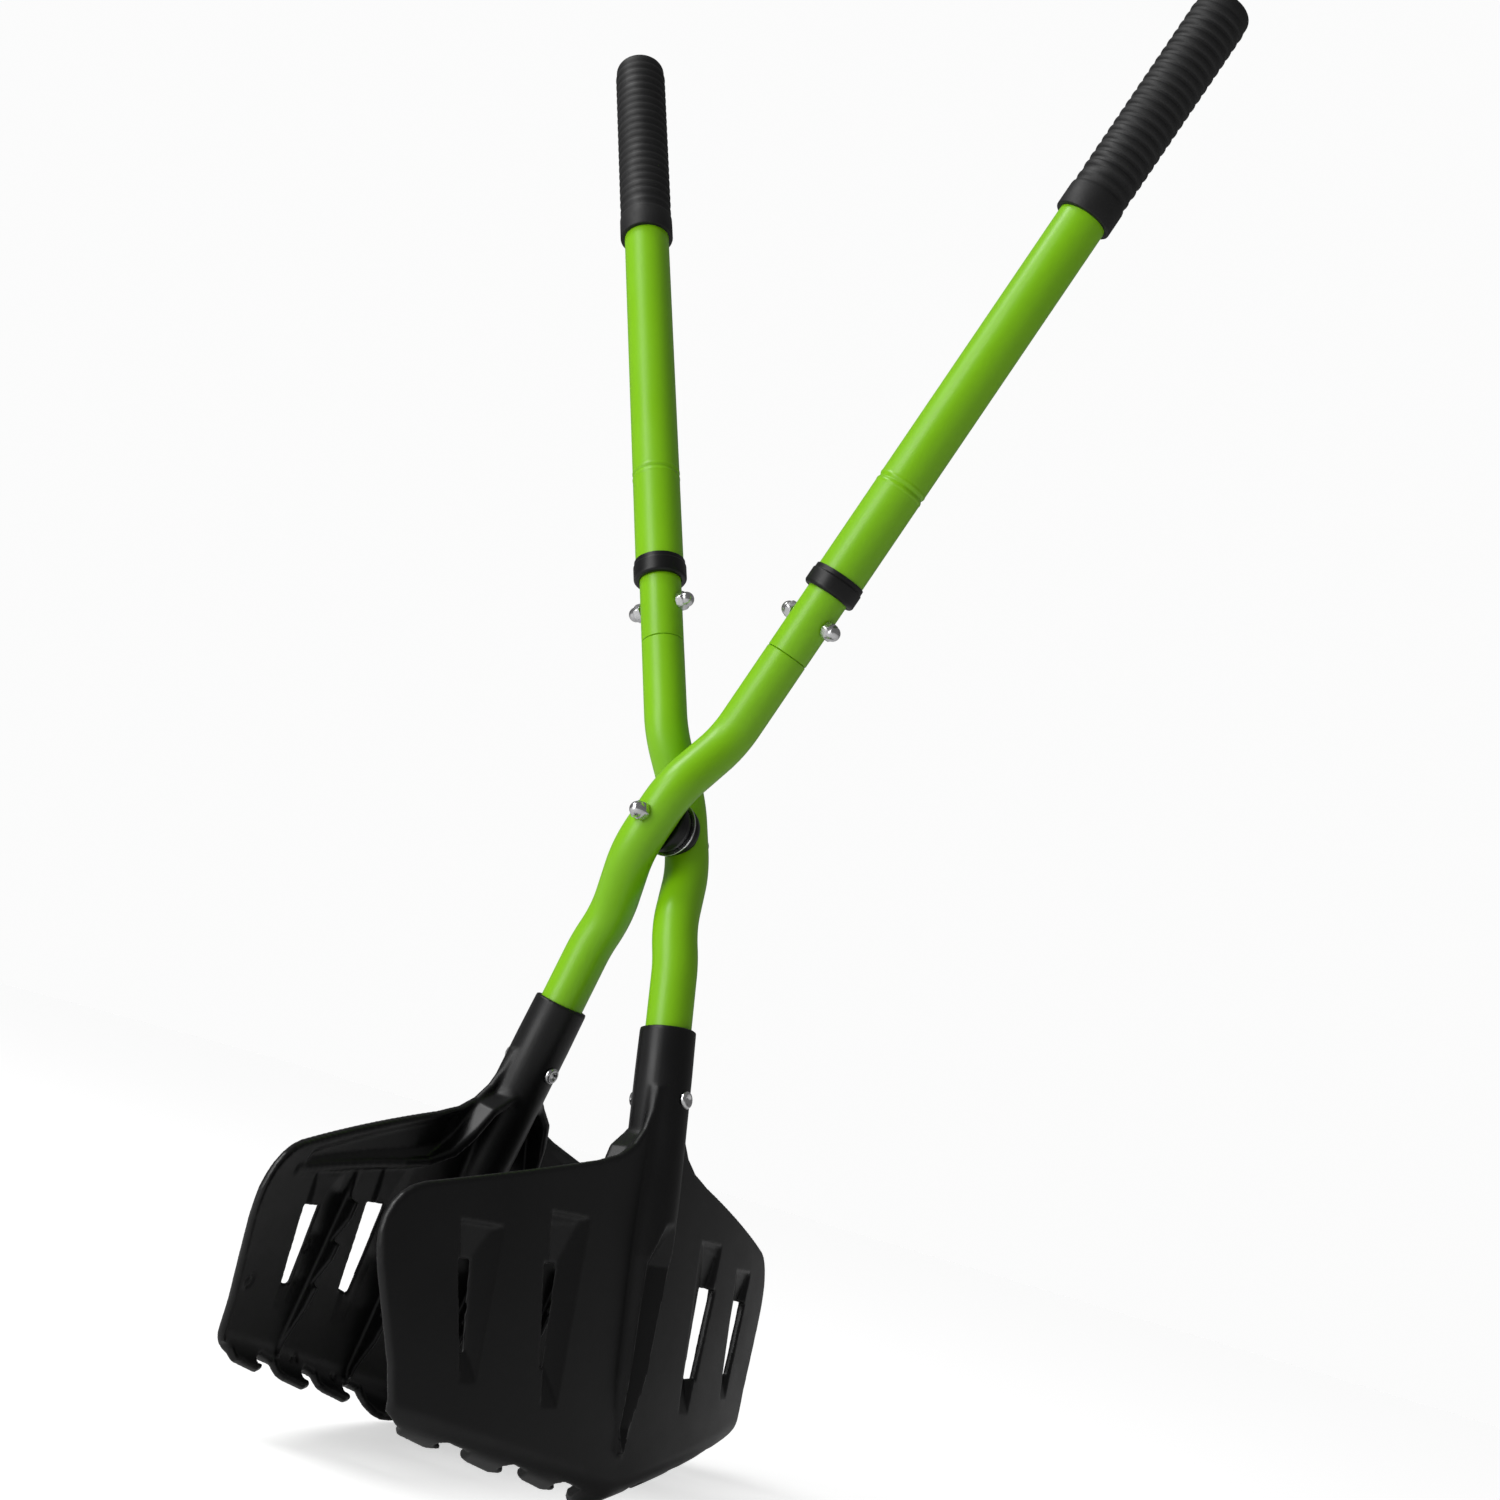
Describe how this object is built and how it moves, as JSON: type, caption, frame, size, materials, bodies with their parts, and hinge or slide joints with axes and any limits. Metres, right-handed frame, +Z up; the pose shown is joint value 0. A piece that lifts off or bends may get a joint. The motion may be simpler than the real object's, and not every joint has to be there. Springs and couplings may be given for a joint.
{
  "type": "leaf grabber hands",
  "caption": "Long-handled scissor leaf grabber: crossed green tube arms on one pivot, ribbed grips above, and toothed slotted black scoops facing each other below.",
  "frame": {"origin": "on the ground midway between the scoops, under the pivot, at the height of the lowest teeth", "axes": "+Z up along the line that halves the angle between the arms, +Y along the pivot bolt from the front arm to the rear arm, +X towards the rear arm's scoop and the front arm's grip"},
  "size_m": [0.4392, 0.364, 0.8769],
  "materials": {
    "green_tube": "glossy powder coat",
    "black_plastic": "satin moulded polypropylene",
    "grip_rubber": "matte ribbed rubber",
    "bright_steel": "bright zinc-plated steel"
  },
  "bodies": {
    "front_arm": {"front_grip": "grip_rubber", "front_upper_tube": "green_tube", "front_collar": "black_plastic", "front_joiner_tube": "green_tube", "front_joint_bolt": "bright_steel", "front_joint_nut": "bright_steel", "front_lower_tube": "green_tube", "front_scoop": "black_plastic", "front_scoop_rivet": "bright_steel", "front_saddle": "black_plastic", "pivot_bolt": "bright_steel", "pivot_nut": "bright_steel", "pivot_washer": "bright_steel"},
    "rear_arm": {"rear_grip": "grip_rubber", "rear_upper_tube": "green_tube", "rear_collar": "black_plastic", "rear_joiner_tube": "green_tube", "rear_joint_bolt": "bright_steel", "rear_joint_nut": "bright_steel", "rear_lower_tube": "green_tube", "rear_scoop": "black_plastic", "rear_scoop_rivet": "bright_steel", "rear_saddle": "black_plastic"}
  },
  "joints": [
    {"name": "arm_pivot", "type": "hinge", "parent": "front_arm", "child": "rear_arm", "pos_m": [0, 0, 0.34888], "axis": [0, 1, 0], "range_deg": [-38, 12.5]}
  ]
}
